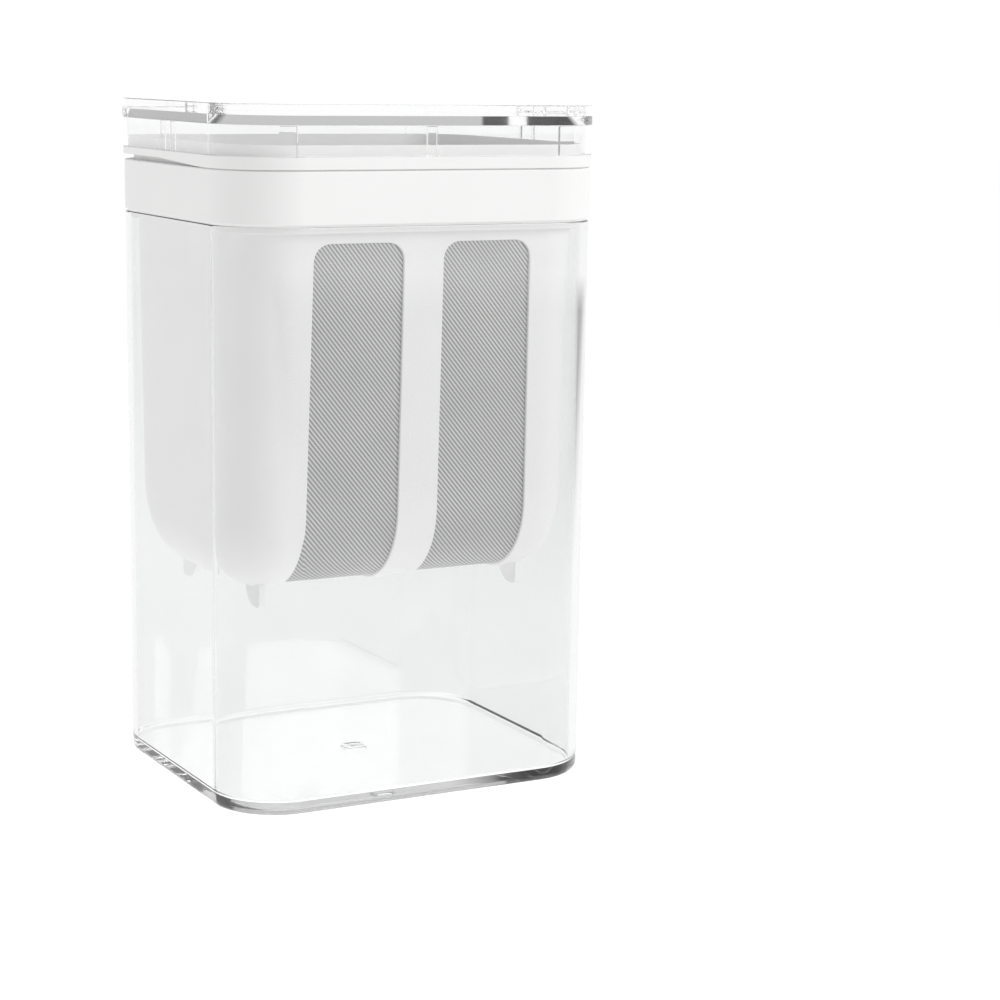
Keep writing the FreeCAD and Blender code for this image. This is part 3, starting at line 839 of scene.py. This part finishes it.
def make_floor():
    """A pale floor that glows with painted light, brightest in a pool under the object, and dimmer
    out of view to the right with painted shade.
    """
    material, tree, shader = new_material("studio_floor")
    shader.inputs["Base Color"].default_value = FLOOR_COLOUR
    shader.inputs["Roughness"].default_value = 0.8
    shader.inputs["Specular IOR Level"].default_value = 0.0
    place = position(tree)
    sides = add(tree, "ShaderNodeVectorMath", operation="ABSOLUTE")
    tree.links.new(place, sides.inputs[0])
    side_x, side_y, _ = parts_of(tree, sides.outputs["Vector"])
    past_end = arithmetic(tree, "SUBTRACT", side_x, (HALF_X - HALF_Y) * MM)
    outwards = arithmetic(tree, "MAXIMUM", past_end, side_y)
    # painted pool of light: the floor glows brighter under the object
    glow = spread(tree, outwards, *FLOOR_GLOW, *GLOW_EDGE)
    away = add(tree, "ShaderNodeVectorMath", operation="LENGTH")
    tree.links.new(place, away.inputs[0])
    # painted shade: the glow is dimmed out of view to the right, which darkens what the clear
    # walls show
    painted_floor_shade = spread(tree, dot_product(tree, place, RIGHT_OF_VIEW), 1.0, SHADE_LOW, *TO_SHADE)
    far = spread(tree, away.outputs["Value"], 0.0, 1.0, *FAR_AWAY)
    glow = arithmetic(tree, "MULTIPLY", glow, arithmetic(tree, "MAXIMUM", painted_floor_shade, far))
    shader.inputs["Emission Color"].default_value = (1, 1, 1, 1)
    tree.links.new(glow, shader.inputs["Emission Strength"])
    bpy.ops.mesh.primitive_plane_add(size=FLOOR_SIZE, location=(0, 0, cad_low.z - FLOOR_GAP))
    floor = bpy.context.object
    floor.name = "studio_floor"
    floor.data.materials.append(material)


def make_softbox(name, spot, power):
    """A square lamp that faces the object."""
    light = bpy.data.lights.new(name, "AREA")
    light.shape = "RECTANGLE"
    light.size = SOFTBOX_SIZE
    light.size_y = SOFTBOX_SIZE
    light.energy = power
    lamp = bpy.data.objects.new(name, light)
    bpy.context.scene.collection.objects.link(lamp)
    lamp.location = spot
    lamp.rotation_mode = "QUATERNION"
    lamp.rotation_quaternion = (Vector(SOFTBOX_AIM) - Vector(spot)).to_track_quat("-Z", "Y")


def make_world():
    """White round the horizon, dim above it in front, and grey overhead with a dark panel.

    Behind, the sky above the horizon fades from white on the right to dark on the left. The bevels
    inside the clear lid and the edges of the clear base show it, and the panel and the gap in it.
    """
    world = bpy.data.worlds.new("studio")
    world.use_nodes = True
    bpy.context.scene.world = world
    tree = world.node_tree
    place = add(tree, "ShaderNodeTexCoord").outputs["Generated"]
    side, _, height = parts_of(tree, place)

    def change(value, ends, first, second):
        """The first colour before a value reaches the ends, and the second after them."""
        return blend_colours(tree, spread(tree, value, 0.0, 1.0, *ends), first, second)

    fading = change(side, FADE_BEHIND, SKY_DARK, SKY_WHITE)
    behind = change(height, WHITE_TO_BEHIND, SKY_WHITE, fading)
    front = change(height, WHITE_TO_FRONT, SKY_WHITE, SKY_FRONT)
    around = change(dot_product(tree, place, DIM_SIDE), TO_DIM_SIDE, behind, front)
    panel = blend_colours(tree, within(tree, side, *PANEL_GAP), SKY_DARK, SKY_WHITE)
    overhead = blend_colours(tree, within(tree, side, *DARK_PANEL), SKY_OVERHEAD, panel)
    colour = change(height, TO_OVERHEAD, around, overhead)
    tree.links.new(colour, tree.nodes["Background"].inputs["Color"])


def make_camera():
    """The camera, looking ahead and down from its spot."""
    across = Vector((math.cos(CAMERA_YAW), -math.sin(CAMERA_YAW), 0))
    ahead = Vector((math.sin(CAMERA_YAW) * math.cos(CAMERA_PITCH),
                    math.cos(CAMERA_YAW) * math.cos(CAMERA_PITCH), -math.sin(CAMERA_PITCH)))
    above = across.cross(ahead)
    right = math.cos(CAMERA_ROLL) * across + math.sin(CAMERA_ROLL) * above
    up = -math.sin(CAMERA_ROLL) * across + math.cos(CAMERA_ROLL) * above
    data = bpy.data.cameras.new("camera")
    data.lens = CAMERA_LENS
    data.sensor_width = CAMERA_SENSOR
    data.clip_start = 0.01
    camera = bpy.data.objects.new("camera", data)
    bpy.context.scene.collection.objects.link(camera)
    turn = Matrix((right, up, -ahead)).transposed().to_4x4()
    camera.matrix_world = Matrix.Translation(CAMERA_SPOT) @ turn
    bpy.context.scene.camera = camera


make_camera()
make_world()
make_floor()
for softbox in SOFTBOXES:
    make_softbox(*softbox)

make_container(clear_plastic("clear_body", CLEAR_BODY, BODY_MURK))
make_cover(clear_plastic("clear_lid", CLEAR_LID, LID_MURK))
make_basket(white_plastic("white_frame", FRAME_ROUGHNESS))
wire = steel_mesh("filter_cloth")
for side in (-1, 1):
    make_filter(side, wire)
cover_node("lid_ring", white_plastic("white_ring", RING_ROUGHNESS))
cover_node("lid_gasket", silicone("gasket"))

settings = bpy.context.scene
settings.view_settings.view_transform = "Standard"
settings.cycles.max_bounces = BOUNCES
settings.cycles.transmission_bounces = BOUNCES
settings.cycles.glossy_bounces = BOUNCES
settings.cycles.transparent_max_bounces = TRANSPARENT_BOUNCES
